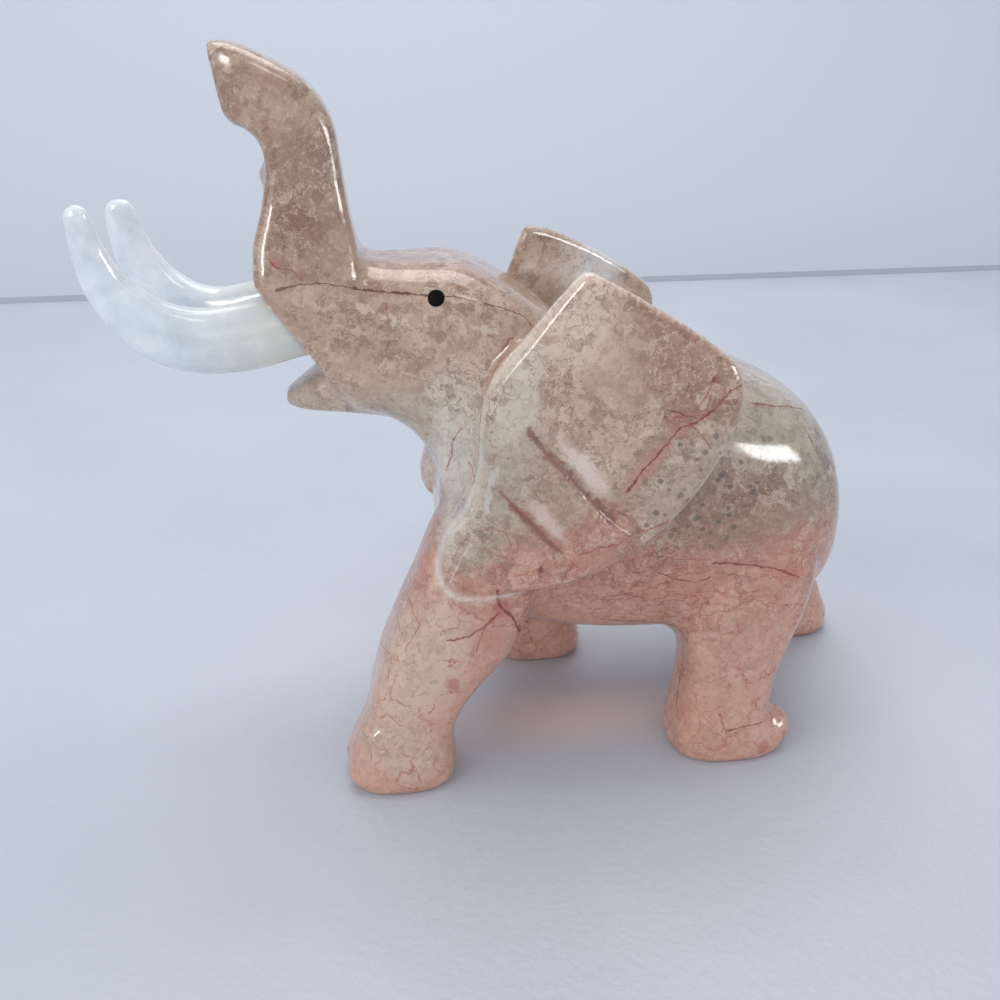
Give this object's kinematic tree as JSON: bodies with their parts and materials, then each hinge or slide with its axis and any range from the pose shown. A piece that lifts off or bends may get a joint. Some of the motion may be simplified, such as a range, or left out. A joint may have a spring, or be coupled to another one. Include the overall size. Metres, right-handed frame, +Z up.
{
  "type": "carved stone elephant figurine",
  "caption": "Polished banded onyx elephant standing with its trunk raised, with two white stone tusks and small black inlaid eyes.",
  "frame": {"origin": "on the surface that the figure stands on, under the middle of its overall box", "axes": "+Z up, -X the way the elephant looks, -Y towards its left side"},
  "size_m": [0.1336, 0.0538, 0.1141],
  "materials": {
    "body": "polished pinkish taupe onyx with grey-green clouds, speckle and thin red veins",
    "tusk": "polished milky white translucent onyx",
    "eye": "glossy black inlay"
  },
  "bodies": {
    "root": {"body": "body", "tusk_left": "tusk", "tusk_right": "tusk", "eye_left": "eye", "eye_right": "eye"}
  },
  "joints": []
}
